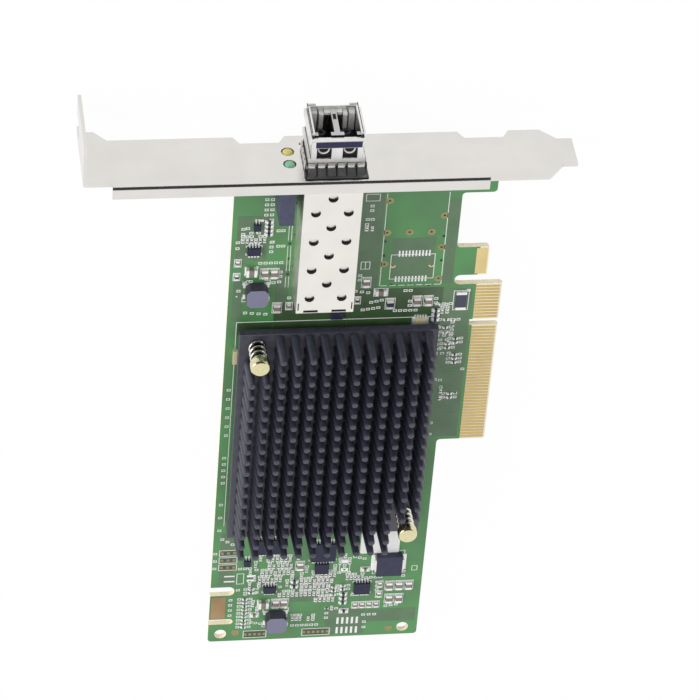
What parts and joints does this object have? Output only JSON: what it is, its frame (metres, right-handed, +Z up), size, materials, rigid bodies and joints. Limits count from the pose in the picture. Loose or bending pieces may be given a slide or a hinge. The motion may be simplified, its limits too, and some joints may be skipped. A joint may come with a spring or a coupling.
{
  "type": "fibre channel host adapter card",
  "caption": "Expansion card with a full-height bracket, pluggable optical transceiver in a vented cage, pin-fin heat sink on spring push pins, and a gold card edge.",
  "frame": {"origin": "middle of the key slot at the tip of the card edge, half-way through the board", "axes": "+X out of the card edge, +Y out of the bracket, +Z up from the component side"},
  "size_m": [0.12, 0.1791, 0.0218],
  "materials": {
    "board_green": "green solder mask on glass laminate",
    "gold": "gold plating",
    "bare_copper": "bare copper",
    "bracket_steel": "satin plated sheet",
    "screw_steel": "plated",
    "cage_nickel": "nickel plated sheet",
    "spring_nickel": "bright spring sheet",
    "black_moulding": "matt black moulding",
    "tin": "tinned",
    "casting": "nickel plated casting",
    "grey_moulding": "grey moulding",
    "sleeve_white": "white ceramic",
    "beige_moulding": "pale beige moulding",
    "yellow_lens": "clear yellow lens",
    "green_lens": "clear green lens",
    "black_anodised": "black anodised",
    "thermal_grey": "soft pad",
    "pin_brass": "bright brass",
    "spring_steel": "bright wire",
    "ferrite": "grey ferrite",
    "navy_ceramic": "dark glaze",
    "beige_ceramic": "plain",
    "tan_ceramic": "plain"
  },
  "bodies": {
    "card": {"circuit_board": "board_green", "edge_contacts": "gold", "short_tab_plating": "gold", "corner_tab_plating": "bare_copper", "bracket": "bracket_steel", "bracket_screws": "screw_steel", "port_cage": "cage_nickel", "cage_floor": "cage_nickel", "cage_spring_fingers": "spring_nickel", "host_connector": "black_moulding", "host_contacts": "tin", "led_holder": "black_moulding", "yellow_led": "yellow_lens", "green_led": "green_lens", "heat_sink": "black_anodised", "controller_chip": "black_moulding", "thermal_pad": "thermal_grey", "push_pins": "pin_brass", "push_pin_springs": "spring_steel", "power_inductors": "ferrite", "filter_choke": "black_moulding", "memory_chips": "black_moulding", "regulator_chips": "black_moulding", "transistors": "black_moulding", "sense_resistor": "navy_ceramic", "oscillator": "beige_ceramic", "ceramic_capacitors": "tan_ceramic", "chip_resistors": "navy_ceramic"},
    "transceiver": {"transceiver_housing": "casting", "transceiver_lid": "casting", "fibre_receptacle": "grey_moulding", "ferrule_sleeves": "sleeve_white", "transceiver_board": "board_green"},
    "bail": {"bail_latch": "beige_moulding"}
  },
  "joints": [
    {"name": "transceiver_slide", "type": "slide", "parent": "card", "child": "transceiver", "axis": [0, 1, 0], "range_m": [0, 0.03]},
    {"name": "bail_swing", "type": "hinge", "parent": "transceiver", "child": "bail", "pos_m": [-0.0461, 0.0668, -0.0009], "axis": [-1, 0, 0], "range_deg": [0, 90]}
  ]
}
